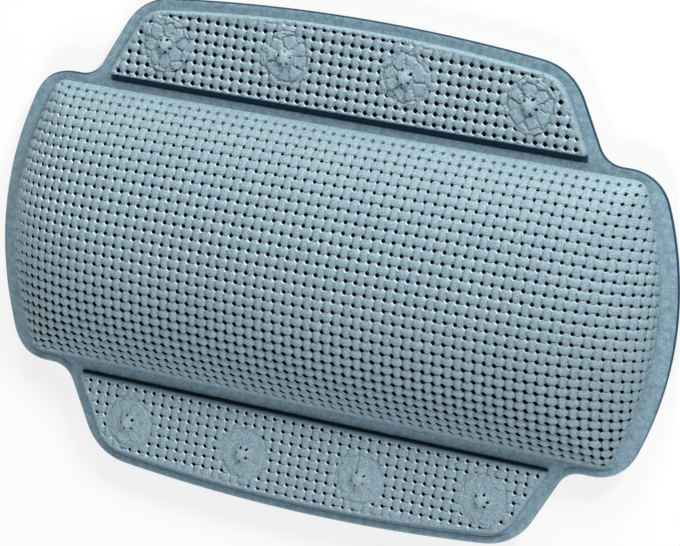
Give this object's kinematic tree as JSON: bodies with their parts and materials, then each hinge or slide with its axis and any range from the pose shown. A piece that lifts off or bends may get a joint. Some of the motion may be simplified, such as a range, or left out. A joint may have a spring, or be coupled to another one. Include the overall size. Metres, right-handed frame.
{
  "type": "bath pillow",
  "caption": "Cushioned vinyl bath pillow: a stuffed basket-weave bolster with a fold-out flap along each long side, held to the tub by suction cups under the flaps.",
  "frame": {"origin": "middle of the outline, on the plane that the suction cups' rims stand on", "axes": "+X along the bolster, +Y towards the upper flap, +Z from the cups' rims to the crown"},
  "size_m": [0.33, 0.2272, 0.0409],
  "materials": {
    "foam_vinyl": "matte",
    "back_vinyl": "satin",
    "cup_vinyl": "gloss",
    "stuffing": "matte"
  },
  "bodies": {
    "bolster": {"bolster_cover": "foam_vinyl", "bolster_filling": "stuffing", "back_sheet": "back_vinyl"},
    "upper_flap": {"upper_flap_cover": "foam_vinyl", "upper_flap_backing": "back_vinyl", "upper_cup_1": "cup_vinyl", "upper_cup_2": "cup_vinyl", "upper_cup_3": "cup_vinyl", "upper_cup_4": "cup_vinyl"},
    "lower_flap": {"lower_flap_cover": "foam_vinyl", "lower_flap_backing": "back_vinyl", "lower_cup_1": "cup_vinyl", "lower_cup_2": "cup_vinyl", "lower_cup_3": "cup_vinyl", "lower_cup_4": "cup_vinyl"}
  },
  "joints": [
    {"name": "upper_fold", "type": "hinge", "parent": "bolster", "child": "upper_flap", "pos_m": [0, 0.069, 0.009], "axis": [1, 0, 0], "range_deg": [-90, 60], "stiffness_Nm_per_rad": 0.3},
    {"name": "lower_fold", "type": "hinge", "parent": "bolster", "child": "lower_flap", "pos_m": [0, -0.069, 0.009], "axis": [-1, 0, 0], "range_deg": [-90, 60], "stiffness_Nm_per_rad": 0.3}
  ]
}
